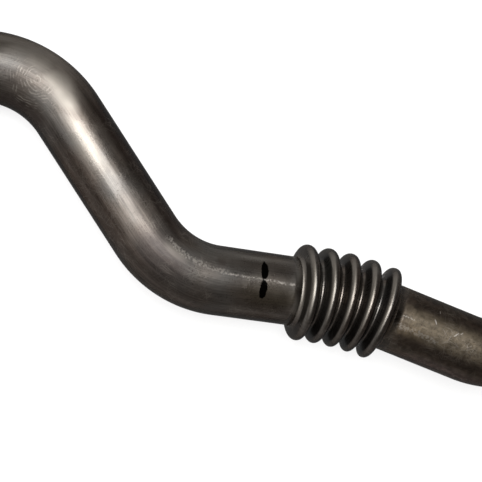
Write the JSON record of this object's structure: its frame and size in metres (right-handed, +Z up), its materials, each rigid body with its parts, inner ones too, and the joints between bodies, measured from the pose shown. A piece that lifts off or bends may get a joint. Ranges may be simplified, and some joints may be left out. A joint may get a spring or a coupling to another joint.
{
  "type": "egr pipe",
  "caption": "Bent stainless steel exhaust gas recirculation pipe with formed bellows rings between plain tube ends.",
  "frame": {"origin": "on the floor, below the middle of the lying pipe's box", "axes": "+Z is up as the pipe lies at rest, +X runs from the first end to the last end and is level with the tube before the rings, +Y is towards the first end's side"},
  "size_m": [0.2184, 0.089, 0.0333],
  "materials": {
    "steel": "dark polished stainless steel with fine scratches"
  },
  "bodies": {
    "root": {"pipe": "steel"}
  },
  "joints": []
}
